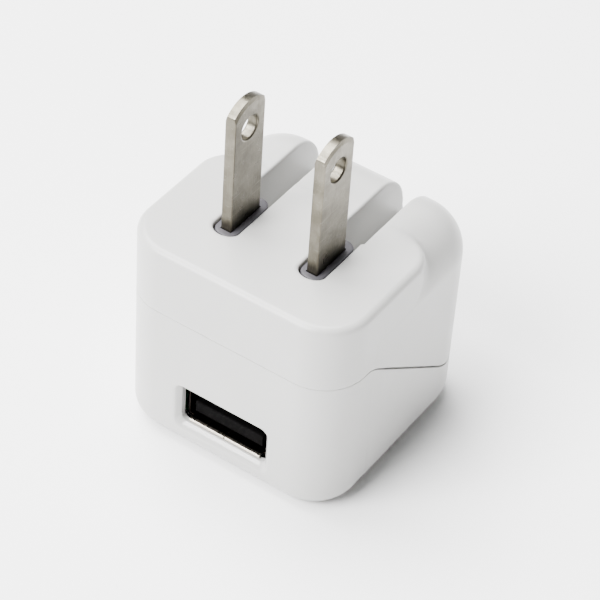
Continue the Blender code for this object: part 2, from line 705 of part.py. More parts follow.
def make_main_pcb():
    """Board with a notch for the receptacle and a hole or a slot for every lead."""
    board = extrude("main_pcb", rounded_rectangle(-BOARD_HALF_WIDTH, BOARD_HALF_WIDTH,
                                                  BOARD_FRONT, BOARD_REAR, BOARD_RADIUS,
                                                  BOARD_RADIUS), BOARD_TOP - BOARD_THICKNESS,
                    BOARD_TOP)
    low = BOARD_TOP - BOARD_THICKNESS - 1
    high = BOARD_TOP + 1
    reach = SHELL_WIDTH / 2 + RUNNING_GAP
    cut(board, block("notch", -reach, reach, BOARD_FRONT - 1,
                     SHELL_START + SHELL_LENGTH + RUNNING_GAP, low, high))
    holes = []
    for name, (x, y, half) in LEAD_PAIRS.items():
        across = LEAD_SPREAD.get(name, 0.0)
        for side in sorted({-across, across}):
            for offset in sorted({-half, half}):
                holes.append(turned("hole", x + side, y + offset,
                                    [(LEAD_HOLE_RADIUS, low), (LEAD_HOLE_RADIUS, high)], sides=8))
    riser = from_outlet(AC_RISER, 0)[0]
    reach = STRIP_HALF_WIDTH + RUNNING_GAP
    for centre in BLADE_CENTRES.values():
        holes.append(block("hole", centre - reach, centre + reach, riser - 0.5, riser + 0.5,
                           low, high))
    reach = CONTACT_HALF_WIDTH + RUNNING_GAP
    for centre in CONTACT_PLACES:
        holes.append(block("hole", centre - reach, centre + reach, contact_tail() - 0.45,
                           contact_tail() + 0.45, low, high))
    cut(board, group("holes", holes))
    return finish(board, "board_laminate")


def make_can(name, radius, height):
    """Electrolytic capacitor: sleeved can with a crimped groove over its seal."""
    x, y = LEAD_PAIRS[name][:2]
    base = BOARD_TOP + SEATING
    profile = [(radius - 0.3, base), (radius, base + 0.2), (radius, base + 0.9),
               (radius - 0.3, base + 1.3), (radius, base + 1.7), (radius, base + height - 0.3),
               (radius - 0.3, base + height)]
    can = turned(name, x, y, profile)
    add_leads(can, name, base + 1)
    return finish(can, "capacitor_sleeve", smooth=True)


def make_filter_choke():
    """Drum choke with a waist of wire between its flanges."""
    x, y = LEAD_PAIRS["filter_choke"][:2]
    base = BOARD_TOP + SEATING
    flange = CHOKE_FLANGE_RADIUS
    waist = CHOKE_WAIST_RADIUS
    end = base + CHOKE_HEIGHT
    profile = [(flange, base), (flange, base + 1.0), (waist, base + 1.2), (waist, end - 1.2),
               (flange, end - 1.0), (flange, end)]
    choke = turned("filter_choke", x, y, profile)
    add_leads(choke, "filter_choke", base + 0.8)
    return finish(choke, "ferrite", smooth=True)


def make_y_capacitor():
    """Safety capacitor: a lacquered disc on edge."""
    x, y = LEAD_PAIRS["y_capacitor"][:2]
    radius = DISC_RADIUS
    half = DISC_HALF_THICKNESS
    height = BOARD_TOP + radius + 1.0
    profile = [(radius - 0.9, x - half), (radius - 0.2, x - half + 0.4), (radius, x),
               (radius - 0.2, x + half - 0.4), (radius - 0.9, x + half)]
    disc = turned("y_capacitor", y, height, profile, "X")
    add_leads(disc, "y_capacitor", height - 1)
    return finish(disc, "ceramic_blue", smooth=True)


def make_fusible_resistor():
    """Barrel resistor across the board with its leads turned down at both ends."""
    x, y = LEAD_PAIRS["fusible_resistor"][:2]
    height = BOARD_TOP + 1.8
    cap = RESISTOR_RADIUS
    waist = cap - 0.2
    end = RESISTOR_HALF_LENGTH
    profile = [(cap - 0.35, x - end), (cap, x - end + 0.4), (cap, x - end + 1.2),
               (waist, x - end + 1.5), (waist, x + end - 1.5), (cap, x + end - 1.2),
               (cap, x + end - 0.4), (cap - 0.35, x + end)]
    resistor = turned("fusible_resistor", y, height, profile, "X", 16)
    spread = LEAD_SPREAD["fusible_resistor"]
    for offset in (-spread, spread):
        join(resistor, lead(x + offset, y, height))
    return finish(resistor, "resistor_lacquer", smooth=True)


def make_optocoupler():
    """Four-legged coupler that carries the feedback across the isolation gap."""
    x, y, half = LEAD_PAIRS["optocoupler"]
    base = BOARD_TOP + 0.8
    rings = []
    for pull, rise in ((0.2, 0), (0, COUPLER_HEIGHT / 2), (0.3, COUPLER_HEIGHT)):
        half_x = COUPLER_HALF_X - pull
        half_y = COUPLER_HALF_Y - pull
        rings.append((rectangle(x - half_x, x + half_x, y - half_y, y + half_y), base + rise))
    body = loft("optocoupler", rings)
    spread = LEAD_SPREAD["optocoupler"]
    for side in (-spread, spread):
        for offset in (-half, half):
            join(body, lead(x + side, y + offset, base + 0.6))
    return finish(body, "epoxy")


def make_chip(name, x, y, half_x, half_y, height, pins):
    """Flat package under the board with pins on its two long sides."""
    top = BOARD_TOP - BOARD_THICKNESS - RUNNING_GAP
    chip = loft(name, [(rectangle(x - half_x + 0.2, x + half_x - 0.2, y - half_y + 0.2,
                                  y + half_y - 0.2), top - height),
                       (rectangle(x - half_x, x + half_x, y - half_y, y + half_y), top - 0.5),
                       (rectangle(x - half_x, x + half_x, y - half_y, y + half_y), top - 0.1)])
    pitch = 2 * half_x / pins
    feet = []
    for i in range(pins):
        middle = x - half_x + pitch * (i + 0.5)
        for side in (-1, 1):
            low_y, high_y = sorted((y + side * (half_y - 0.3), y + side * (half_y + 0.8)))
            feet.append(block("foot", middle - 0.22, middle + 0.22, low_y, high_y,
                              top - 0.35, top))
    join(chip, group("feet", feet))
    return finish(chip, "epoxy")


def make_insulation_sheet():
    """Film between the solder side and the floor of the case."""
    foot = WALL + SHEET_LIFT
    sheet = extrude("insulation_sheet",
                    rounded_rectangle(-SHEET_HALF_WIDTH, SHEET_HALF_WIDTH, -SHEET_HALF_DEPTH,
                                      SHEET_HALF_DEPTH, 1.5, 1.5, 3),
                    foot, foot + SHEET_THICKNESS)
    return finish(sheet, "insulating_film")


# Transformer ----------------------------------------------------------------------------

def make_core(name, back, direction):
    """One E-shaped ferrite half; direction is 1 where its legs point to +Y."""
    middle = (CORE_FRONT + CORE_REAR) / 2
    tip = middle - direction * RUNNING_GAP / 2
    inner = back + direction * CORE_BACK
    outline = [(-CORE_HALF_WIDTH, back), (CORE_HALF_WIDTH, back), (CORE_HALF_WIDTH, tip),
               (OUTER_LEG, tip), (OUTER_LEG, inner), (CENTRE_LEG, inner), (CENTRE_LEG, tip),
               (-CENTRE_LEG, tip), (-CENTRE_LEG, inner), (-OUTER_LEG, inner),
               (-OUTER_LEG, tip), (-CORE_HALF_WIDTH, tip)]
    core = extrude(name, outline, CORE_HEIGHT - CORE_HALF_TALL, CORE_HEIGHT + CORE_HALF_TALL)
    return finish(core, "ferrite")


def bobbin_ends():
    """Front and rear faces of the bobbin, between the backs of the two cores."""
    return (CORE_FRONT + CORE_BACK + RUNNING_GAP, CORE_REAR - CORE_BACK - RUNNING_GAP)


def make_bobbin():
    """Tube with two flanges that stand on the board."""
    start, end = bobbin_ends()
    flange = 0.8
    reach = OUTER_LEG - 0.4
    bobbin = extrude("transformer_bobbin", rectangle(-2.9, 2.9, CORE_HEIGHT - 3.5,
                                                     CORE_HEIGHT + 3.5), start, end, "Y")
    for low_y in (start, end - flange):
        join(bobbin, block("flange", -reach, reach, low_y, low_y + flange,
                           BOARD_TOP + SEATING, CORE_HEIGHT + 5.0))
    window = rectangle(-CENTRE_LEG - RUNNING_GAP, CENTRE_LEG + RUNNING_GAP,
                       CORE_HEIGHT - CORE_HALF_TALL - RUNNING_GAP,
                       CORE_HEIGHT + CORE_HALF_TALL + RUNNING_GAP)
    cut(bobbin, extrude("window", window, start - 1, end + 1, "Y"))
    return finish(bobbin, "black_plastic")


def make_winding():
    """Taped winding round the bobbin tube."""
    start, end = bobbin_ends()
    start += 1.1
    end -= 1.1
    winding = extrude("transformer_winding",
                      rounded_rectangle(-4.8, 4.8, CORE_HEIGHT - 4.8, CORE_HEIGHT + 4.8,
                                        1.8, 1.8, 5), start, end, "Y")
    cut(winding, extrude("tube", rounded_rectangle(-3.2, 3.2, CORE_HEIGHT - 3.8,
                                                   CORE_HEIGHT + 3.8, 0.4, 0.4, 2),
                         start - 1, end + 1, "Y"))
    return finish(winding, "winding_tape", smooth=True)


# Assembly -------------------------------------------------------------------------------

def hang_on_pivot(pieces):
    """Parents the turning pieces to an empty on the hinge axis, at its middle."""
    pivot_y, pivot_z = from_outlet(PIVOT_OFFSET, -PIVOT_DEPTH)
    pivot = bpy.data.objects.new("blade_pivot", None)
    pivot.empty_display_size = 0.005
    pivot.location = (0, pivot_y * MM, pivot_z * MM)
    bpy.context.scene.collection.objects.link(pivot)
    for piece in pieces:
        for vertex in piece.data.vertices:
            vertex.co -= pivot.location
        piece.parent = pivot


def build_charger():
    for old in list(bpy.data.objects):
        bpy.data.objects.remove(old, do_unlink=True)
    make_rear_housing()
    make_front_housing()
    turning = [make_blade_carrier()]
    for side_name, centre in BLADE_CENTRES.items():
        turning.append(make_blade(side_name, centre))
        make_ac_spring(side_name, centre)
    hang_on_pivot(turning)
    make_carrier_retainer()
    make_detent_spring()
    make_usb_shell()
    make_usb_insulator()
    for number, centre in enumerate(CONTACT_PLACES, start=1):
        make_usb_contact(number, centre)
    make_main_pcb()
    make_can("bulk_capacitor_left", *BULK_CAN)
    make_can("bulk_capacitor_right", *BULK_CAN)
    make_can("output_capacitor", *OUTPUT_CAN)
    make_filter_choke()
    make_y_capacitor()
    make_fusible_resistor()
    make_optocoupler()
    for chip_name, sizes in CHIPS.items():
        make_chip(chip_name, *sizes)
    make_insulation_sheet()
    make_core("transformer_core_front", CORE_FRONT, 1)
    make_core("transformer_core_rear", CORE_REAR, -1)
    make_bobbin()
    make_winding()


build_charger()
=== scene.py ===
"""Studio view of a USB wall charger with two folding blades.

Sizes are in millimetres unless a name says otherwise. The outer pieces are drawn from
signed distance functions and turned into meshes; the pieces inside come from the frame.
"""
import json
import math

import bpy
import numpy as np
from mathutils import Matrix, Quaternion, Vector


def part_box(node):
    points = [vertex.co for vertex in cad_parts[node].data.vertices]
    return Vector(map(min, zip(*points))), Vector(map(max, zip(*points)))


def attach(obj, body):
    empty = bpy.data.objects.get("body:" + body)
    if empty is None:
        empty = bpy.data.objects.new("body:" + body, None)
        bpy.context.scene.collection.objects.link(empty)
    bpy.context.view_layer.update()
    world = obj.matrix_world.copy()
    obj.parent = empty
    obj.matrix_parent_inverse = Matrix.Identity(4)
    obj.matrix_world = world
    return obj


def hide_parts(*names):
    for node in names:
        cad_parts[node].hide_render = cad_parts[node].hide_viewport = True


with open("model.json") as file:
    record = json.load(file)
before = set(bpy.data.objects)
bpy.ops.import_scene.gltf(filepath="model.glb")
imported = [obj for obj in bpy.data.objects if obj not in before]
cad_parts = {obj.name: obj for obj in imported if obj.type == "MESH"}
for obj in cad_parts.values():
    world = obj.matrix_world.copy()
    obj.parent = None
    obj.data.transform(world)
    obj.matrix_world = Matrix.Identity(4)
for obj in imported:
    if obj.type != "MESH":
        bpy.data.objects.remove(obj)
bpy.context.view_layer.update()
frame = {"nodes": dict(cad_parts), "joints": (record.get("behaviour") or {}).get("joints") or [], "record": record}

MM = 0.001


def node_span(name):
    """Lowest and highest corner of a CAD node in millimetres."""
    low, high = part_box(name)
    return np.array(low) / MM, np.array(high) / MM


# Where things are -----------------------------------------------------------------------

rear_high = node_span("rear_housing")[1]
front_low = node_span("front_housing")[0]
blade_low, blade_high = node_span("blade_right")
shell_low, shell_high = node_span("usb_shell")
block_low, block_high = node_span("usb_insulator")
carrier_high = node_span("blade_carrier")[1]
plate_low, plate_high = node_span("carrier_retainer")
board_low, board_high = node_span("main_pcb")
hinge = np.array(frame["joints"][0]["pos_m"]) / MM

FRONT = front_low[1]
REAR = rear_high[1]
TOP = rear_high[2]
SIDE = rear_high[0]
PIVOT_Y = hinge[1]
PIVOT_Z = hinge[2]
BLADE_X = (blade_low[0] + blade_high[0]) / 2
BLADE_Y = (blade_low[1] + blade_high[1]) / 2
PORT_X = (shell_low[0] + shell_high[0]) / 2
PORT_Z = (shell_low[2] + shell_high[2]) / 2

WALL = 1.5
COLUMN_SIDE = SIDE - 0.05
COLUMN_REAR = FRONT + 21.7
COLUMN_FRONT_RADIUS = 6.2
COLUMN_REAR_RADIUS = 4.8
COLUMN_TOP_ROUND = 1.0
BODY_FRONT = FRONT + 2.5
BODY_RADIUS = 6.8
BODY_TOP_ROUND = 6.5
BODY_DROP = 0.04
BASE_ROUND = 3.0

SEAM_FRONT = TOP - 9.75
SEAM_BEND = FRONT + 7.85
SEAM_REAR_BEND = FRONT + 26.4
SEAM_REAR = 7.3
SEAM_NARROW = 0.04
SEAM_WIDE = 0.13
SEAM_EDGE = 0.08

SLOT_HALF = 1.85
SLOT_RELIEF = 0.3
SLOT_RELIEF_START = BLADE_Y + 4.9
SLOT_FRONT = BLADE_Y - 4.3
SLOT_NOSE = 1.5
SLOT_FLOOR = TOP - 8.3
SLOT_FLOOR_START = BLADE_Y + 6.0
SLOT_EDGE = 0.35
TROUGH_WALL = 1.2

BEARING_X = 9.5
STAKE_X = 12.0
STAKE_Y = BLADE_Y + 3.5
BOARD_POSTS = ((-11.2, -11.9), (11.2, -11.9), (-11.2, 3.9), (11.2, 6.2))
POST_RADIUS = 1.3

BLADE_HALF_WIDTH = (blade_high[1] - blade_low[1]) / 2
BLADE_HALF_THICK = (blade_high[0] - blade_low[0]) / 2
BLADE_LENGTH = blade_high[2] - TOP
BLADE_ROOT = 3.0
TIP_RISE = 1.2
TIP_RADIUS = (BLADE_HALF_WIDTH ** 2 + TIP_RISE ** 2) / (2 * TIP_RISE)
HOLE_RADIUS = 1.65
HOLE_HEIGHT = 14.1
TAIL_OFFSET = 1.5

HUB_HALF_WIDTH = 1.65
HUB_RADIUS = 2.85
HUB_RISE = 3.25
HUB_REACH = 5.8
HUB_UNDER = math.radians(40)
HUB_UNDER_DEPTH = 2.8
HUB_FOOT = 2.4
SHAFT_RADIUS = 1.5
CAM_HALF_FLAT = 1.4
TRUNNION_RADIUS = 1.4

THROAT_HALF_WIDTH = 6.5
THROAT_HALF_TALL = 3.15
THROAT_RADIUS = 0.9
FUNNEL_DEPTH = 0.8
FUNNEL_SIDE = 0.65
FUNNEL_HEAD = 0.3
FUNNEL_FOOT = 0.9
SHELL_HALF = 6.3
SHELL_START = FRONT + FUNNEL_DEPTH + 1.1
SHELL_GAUGE = 0.3
PLATE_GAUGE = 0.42
FINGER_X = 2.9
CUT_HALF = 0.16
EAR_PLACES = (-11.5, -6.0)
TONGUE_HALF_WIDTH = 5.2
TONGUE_TALL = 1.8


# Distance functions ---------------------------------------------------------------------

def rounded_box_2d(a, b, half_a, low_b, high_b, radius):
    """Distance in a plane to a rectangle about a = 0 with rounded corners."""
    middle = (low_b + high_b) / 2
    qa = np.abs(a) - half_a + radius
    qb = np.abs(b - middle) - (high_b - low_b) / 2 + radius
    return (np.minimum(np.maximum(qa, qb), 0)
            + np.hypot(np.maximum(qa, 0), np.maximum(qb, 0)) - radius)


def box_3d(x, y, z, low, high):
    """Distance to an upright block, exact inside and on its faces."""
    qx = np.abs(x - (low[0] + high[0]) / 2) - (high[0] - low[0]) / 2
    qy = np.abs(y - (low[1] + high[1]) / 2) - (high[1] - low[1]) / 2
    qz = np.abs(z - (low[2] + high[2]) / 2) - (high[2] - low[2]) / 2
    return np.maximum(np.maximum(qx, qy), qz)


def both(a, b, radius):
    """Intersection whose edge is rounded."""
    a = a + radius
    b = b + radius
    return (np.minimum(np.maximum(a, b), 0)
            + np.hypot(np.maximum(a, 0), np.maximum(b, 0)) - radius)


def either(a, b, reach):
    """Union with a soft fillet whose reach may vary from place to place."""
    reach = np.maximum(reach, 1e-4)
    overlap = np.clip(0.5 + 0.5 * (b - a) / reach, 0, 1)
    return b + (a - b) * overlap - reach * overlap * (1 - overlap)


def ramp(value, start, end):
    """A smooth step from 0 at start to 1 at end."""
    t = np.clip((value - start) / (end - start), 0, 1)
    return t * t * (3 - 2 * t)


def upright_body(x, y, z, half, front, rear, front_radius, rear_radius, top, top_round):
    """An upright rounded body that stands on the base."""
    radius = np.where(y < (front + rear) / 2, front_radius, rear_radius)
    plan = rounded_box_2d(x, y, half, front, rear, radius)
    upper = both(plan, z - top, top_round)
    lower = both(plan, -z, BASE_ROUND)
    return np.where(z > TOP / 2, upper, lower)


def case(x, y, z):
    """The filled outer shape of the case."""
    column = upright_body(x, y, z, COLUMN_SIDE, FRONT, COLUMN_REAR, COLUMN_FRONT_RADIUS,
                          COLUMN_REAR_RADIUS, TOP, COLUMN_TOP_ROUND)
    body = upright_body(x, y, z, SIDE, BODY_FRONT, REAR, BODY_RADIUS, BODY_RADIUS,
                        TOP - BODY_DROP, BODY_TOP_ROUND)
    reach = 0.9 * ramp(y, COLUMN_REAR - 5, COLUMN_REAR - 1) * ramp(np.abs(x), 8, 12)
    return np.maximum(either(column, body, reach), -z)


def seam(y, z):
    """Signed distance from the seam between the mouldings, positive above it."""
    slope = math.atan2(SEAM_FRONT - SEAM_REAR, SEAM_REAR_BEND - SEAM_BEND)
    diagonal = (y - SEAM_BEND) * math.sin(slope) + (z - SEAM_FRONT) * math.cos(slope)
    lower = either(diagonal, z - SEAM_REAR, 1.3)
    return -either(SEAM_FRONT - z, -lower, 1.0)


def seam_gap(y):
    """Half the width of the seam: a hairline in front, open along the diagonal."""
    return SEAM_NARROW + (SEAM_WIDE - SEAM_NARROW) * ramp(y, SEAM_BEND - 2, SEAM_BEND + 5)


def slots(x, y, z):
    """Both channels that the blades fold into."""
    outward = np.abs(x) - BLADE_X
    wide = SLOT_HALF + SLOT_RELIEF * ramp(y, SLOT_RELIEF_START - 0.3, SLOT_RELIEF_START + 0.1)
    side = np.maximum(outward - wide, -outward - SLOT_HALF)
    nose = SLOT_FRONT + SLOT_NOSE
    bow = np.hypot(outward / SLOT_HALF, np.minimum(y - nose, 0) / SLOT_NOSE) - 1
    plan = np.where(y < nose, bow * SLOT_NOSE * 0.9, side)
    return np.maximum(plan, SLOT_FLOOR - z)


def trunnion_seat(x, y, z):
    """The round seats of the trunnions."""
    ring = np.hypot(y - PIVOT_Y, z - PIVOT_Z) - 1.7
    return np.maximum(ring, np.abs(np.abs(x) - BEARING_X) - 1.9)


def rear_housing(x, y, z):
    """Upper and rear moulding."""
    outside = case(x, y, z)
    above = seam_gap(y) - seam(y, z)
    skin = np.maximum(outside, -(outside + WALL))
    skin = both(skin, above, SEAM_EDGE)
    outward = np.abs(x) - BLADE_X
    inset = outside + WALL / 2
    trough = np.maximum(np.abs(outward) - SLOT_HALF - TROUGH_WALL,
                        np.maximum(SLOT_FLOOR_START - y, SLOT_FLOOR - TROUGH_WALL - z))
    bearing = np.maximum(np.abs(np.abs(x) - BEARING_X) - 0.9,
                         np.maximum(np.abs(y - PIVOT_Y) - 2.4, PIVOT_Z - z))
    from_stake = np.hypot(np.abs(x) - STAKE_X, y - STAKE_Y)
    boss = np.minimum(np.maximum(from_stake - 0.7, plate_low[2] - 0.8 - z),
                      np.maximum(from_stake - 1.2, plate_high[2] + 0.3 - z))
    ribs = np.minimum(np.minimum(trough, boss), np.maximum(bearing, -trunnion_seat(x, y, z)))
    solid = np.minimum(skin, np.maximum(ribs, inset))
    return both(solid, -slots(x, y, z), SLOT_EDGE * ramp(z, TOP - 7.5, TOP - 6.5) + 1e-3)


def port(x, y, z):
    """The USB opening, flared at the face."""
    flare = np.clip((FRONT + FUNNEL_DEPTH - y) / FUNNEL_DEPTH, 0, 3)
    foot = flare * (0.55 + 0.45 * np.minimum(flare, 1))
    low = PORT_Z - THROAT_HALF_TALL - FUNNEL_FOOT * foot
    high = PORT_Z + THROAT_HALF_TALL + FUNNEL_HEAD * flare
    sides = rounded_box_2d(x - PORT_X, z, THROAT_HALF_WIDTH + FUNNEL_SIDE * flare, low, high,
                           THROAT_RADIUS + FUNNEL_HEAD * flare)
    return np.maximum(sides, y - FRONT - 3 * WALL)


def front_housing(x, y, z):
    """Lower and front moulding."""
    outside = case(x, y, z)
    height = seam(y, z)
    below = height + seam_gap(y)
    skin = both(np.maximum(outside, -(outside + WALL)), below, SEAM_EDGE)
    root = np.maximum(np.maximum(outside + 1.3, -(outside + 2.6)),
                      np.maximum(height + 0.4, -(height + 2.0)))
    lip = np.maximum(np.maximum(outside + 1.8, -(outside + 2.6)),
                     np.maximum(height - 0.9, -(height + 1.2)))
    solid = np.minimum(skin, np.minimum(root, lip))
    for post_x, post_y in BOARD_POSTS:
        post = np.hypot(x - post_x, y - post_y) - POST_RADIUS
        post = np.maximum(post, np.maximum(z - board_low[2] + 0.3, WALL / 2 - z))
        solid = np.minimum(solid, post)
    return both(solid, -port(x, y, z), 0.2 * ramp(y, FRONT + 0.6, FRONT + 0.3) + 1e-3)


def blade_shape(x, y, z):
    """One blade about x = 0, with its coined tip, hole, root and contact tail."""
    across = y - BLADE_Y
    up = z - TOP
    from_tip_centre = np.hypot(across, np.maximum(up - BLADE_LENGTH + TIP_RADIUS, 0))
    tip = from_tip_centre - TIP_RADIUS
    outline = np.maximum(both(np.abs(across) - BLADE_HALF_WIDTH, tip, 0.07), -BLADE_ROOT - up)
    face = np.abs(x) - BLADE_HALF_THICK
    blade = both(outline, face, 0.13)
    coined = face * 0.94 + (tip + 0.55) * 0.34 * (up > BLADE_LENGTH - 3)
    hole = both(HOLE_RADIUS - np.hypot(across, up - HOLE_HEIGHT), face, 0.2)
    blade = np.maximum(np.maximum(blade, coined), hole)
    tail = np.maximum(np.maximum(np.abs(across + TAIL_OFFSET) - 1.1, face),
                      np.maximum(up + 2.5, -8.4 - up))
    return np.minimum(blade, tail)


def carrier(x, y, z):
    """Both hubs, the cross shaft with its cam, and the trunnions."""
    rel_y = y - PIVOT_Y
    rel_z = z - PIVOT_Z
    from_axis = np.hypot(rel_y, rel_z)
    outward = np.abs(x) - BLADE_X
    barrel = from_axis - HUB_RADIUS
    under = rel_y * math.sin(HUB_UNDER) - rel_z * math.cos(HUB_UNDER) - HUB_UNDER_DEPTH
    below_top = np.maximum(under, rel_z - HUB_RISE)
    upper = np.maximum(below_top, np.maximum(-rel_y - HUB_RADIUS, -rel_z))
    lower = np.maximum(below_top, np.maximum(-rel_y, -HUB_FOOT - rel_z))
    profile = np.minimum(barrel, np.maximum(np.minimum(upper, lower), rel_y - HUB_REACH))
    plan = rounded_box_2d(outward, y, HUB_HALF_WIDTH, PIVOT_Y - HUB_RADIUS,
                          PIVOT_Y + HUB_REACH, 1.45)
    hub = both(profile, plan, 0.22)
    across = y - BLADE_Y
    up = z - TOP
    pocket = np.maximum(np.abs(across) - 3.17, -3.2 - up)
    tail = np.maximum(np.abs(across + TAIL_OFFSET) - 1.3, up - BLADE_ROOT)
    gap = np.where(up > -2.0, 0.09, 0.18)
    pocket = np.maximum(np.minimum(pocket, tail), np.abs(outward) - 0.75 - gap)
    shaft = np.maximum(from_axis - SHAFT_RADIUS, np.abs(x) - 5.2)
    cam = np.maximum(np.maximum(np.abs(rel_y), np.abs(rel_z)) - CAM_HALF_FLAT, from_axis - 1.8)
    cam = np.maximum(cam, np.abs(x) - 2.0)
    outer = np.maximum(BLADE_X + 1.2 - np.abs(x), np.abs(x) - carrier_high[0])
    trunnion = np.maximum(from_axis - TRUNNION_RADIUS, outer)
    solid = np.minimum(np.minimum(hub, shaft), np.minimum(cam, trunnion))
    return np.maximum(solid, -pocket)


def usb_shell(x, y, z):
    """Folded steel shell whose bottom plate reaches forward, with springs cut in it and ears."""
    low = shell_low[2]
    section = rounded_box_2d(x - PORT_X, z, SHELL_HALF, low, shell_high[2], 0.7)
    tube = both(np.maximum(section, -(section + SHELL_GAUGE)),
                np.maximum(SHELL_START - y, y - shell_high[1]), 0.05)
    plate = np.maximum(np.abs(x) - 5.4, np.abs(z - low - PLATE_GAUGE / 2) - PLATE_GAUGE / 2)
    reach = np.maximum(FRONT + FUNNEL_DEPTH + 0.12 - y, y - SHELL_START - 1.0)
    plate = both(plate, reach, 0.05)
    butt = np.maximum(np.abs(x) - 0.09, z - PORT_Z)
    along = y - SHELL_START - 4.3
    aside = np.abs(np.abs(x) - FINGER_X)
    finger = np.maximum(np.abs(aside - 1.1) - CUT_HALF, np.abs(along) - 2.6)
    toe = np.maximum(aside - 1.26, np.abs(along + 2.44) - CUT_HALF)
    cuts = np.minimum(butt, np.minimum(finger, toe))
    tube = np.maximum(np.minimum(tube, plate), -cuts)
    ear = np.maximum(np.abs(x) - shell_high[0], np.abs(z - board_high[2] - 0.45) - 0.15)
    from_ear = np.minimum(np.abs(y - EAR_PLACES[0]), np.abs(y - EAR_PLACES[1]))
    ear = np.maximum(ear, from_ear - 1.0)
    ear = np.maximum(ear, -(section + 0.15))
    return np.minimum(tube, ear)


def usb_insulator(x, y, z):
    """Tongue on a block that closes the rear of the shell."""
    rear = block_high[1]
    body = box_3d(x, y, z, (block_low[0], rear - 3.9, block_low[2]),
                  (block_high[0], rear, block_high[2]))
    tongue = rounded_box_2d(x - PORT_X, z, TONGUE_HALF_WIDTH, PORT_Z - TONGUE_TALL, PORT_Z,
                            0.12)
    tongue = both(tongue, np.maximum(block_low[1] - y, y - rear + 3.0), 0.12)
    passage = np.maximum(np.abs(x) - 4.3, np.abs(z - PORT_Z - 0.43) - 0.42)
    passage = np.maximum(passage, block_low[1] + 4.2 - y)
    return np.maximum(np.minimum(body, tongue), -passage)


# Meshes from distance functions ---------------------------------------------------------

# The grid is shifted by an odd part of a cell, so that no flat face lies on its points.
PROBE = 0.004
HALVINGS = 14
GRID_SHIFT = 1.37
PULL_TO_CENTRE = 0.02
# A corner that bends more than this takes its shading from a little inside its own face.
SOFT_BEND = math.cos(math.radians(8))
CREASE = math.cos(math.radians(14))
TOWARD_FACE = 0.3


def gradient(distance, points):
    """Unit direction in which the distance grows, at each point."""
    result = np.empty_like(points)
    for axis in range(3):
        step = np.zeros(3)
        step[axis] = PROBE
        ahead = points + step
        behind = points - step
        result[:, axis] = distance(*ahead.T) - distance(*behind.T)
    length = np.linalg.norm(result, axis=1, keepdims=True)
    return result / np.maximum(length, 1e-9)


def crossings(distance, axes, inside, axis):
    """Grid edges along one axis that pass through the surface, and where they do."""
    before = np.moveaxis(inside, axis, 0)[:-1]
    after = np.moveaxis(inside, axis, 0)[1:]
    found = np.argwhere(before != after)
    cells = np.empty_like(found)
    others = [a for a in range(3) if a != axis]
    cells[:, axis] = found[:, 0]
    cells[:, others[0]] = found[:, 1]
    cells[:, others[1]] = found[:, 2]
    leaving = before[tuple(found.T)]
    start = np.stack([axes[a][cells[:, a]] for a in range(3)], axis=1)
    low = np.zeros(len(start))
    high = np.full(len(start), axes[axis][1] - axes[axis][0])
    for _ in range(HALVINGS):
        middle = (low + high) / 2
        point = start.copy()
        point[:, axis] += middle
        same = (distance(*point.T) < 0) == leaving
        low = np.where(same, middle, low)
        high = np.where(same, high, middle)
    point = start.copy()
    point[:, axis] += (low + high) / 2
    return cells, leaving, point


def contour(name, distance, low, high, step):
    """A closed mesh of the surface where the distance is zero, with its edges kept crisp."""
    low = np.array(low, float) - GRID_SHIFT * step
    counts = np.ceil((np.array(high, float) - low) / step).astype(int) + 3
    axes = [low[a] + step * np.arange(counts[a]) for a in range(3)]
    grid = distance(*np.meshgrid(*axes, indexing="ij", sparse=True))
    inside = np.broadcast_to(grid, counts) < 0
    cell_lists = []
    points = []
    leavings = []
    for axis in range(3):
        cells, leaving, point = crossings(distance, axes, inside, axis)
        u = np.zeros(3, int)
        v = np.zeros(3, int)
        u[(axis + 1) % 3] = 1
        v[(axis + 2) % 3] = 1
        around = np.stack([cells, cells - u, cells - u - v, cells - v], axis=1)
        cell_lists.append(around)
        points.append(point)
        leavings.append(leaving)
    around = np.concatenate(cell_lists)
    points = np.concatenate(points)
    leaving = np.concatenate(leavings)
    flat = np.ravel_multi_index(np.moveaxis(around, 2, 0), counts)
    cell_ids, index = np.unique(flat, return_inverse=True)
    index = index.reshape(flat.shape)
    normals = gradient(distance, points)
    total = len(cell_ids)

    def gather(values):
        return sum(np.bincount(index[:, k], values, total) for k in range(4))

    count = gather(np.ones(len(points)))
    centre = np.stack([gather(points[:, a]) / count for a in range(3)], axis=1)
    matrix = np.empty((total, 3, 3))
    offset = np.einsum("ij,ij->i", normals, points)
    right = np.empty((total, 3))
    for a in range(3):
        right[:, a] = gather(normals[:, a] * offset)
        for b in range(a, 3):
            matrix[:, a, b] = gather(normals[:, a] * normals[:, b])
            matrix[:, b, a] = matrix[:, a, b]
    right -= np.einsum("iab,ib->ia", matrix, centre)
    matrix += PULL_TO_CENTRE * np.eye(3)
    vertices = centre + np.linalg.solve(matrix, right[:, :, None])[:, :, 0]
    corner = np.stack(np.unravel_index(cell_ids, counts), axis=1)
    cell_low = np.stack([axes[a][corner[:, a]] for a in range(3)], axis=1)
    vertices = np.clip(vertices, cell_low, cell_low + step)
    quads = np.where(leaving[:, None], index, index[:, ::-1])
    return mesh_object(name, distance, vertices, quads)


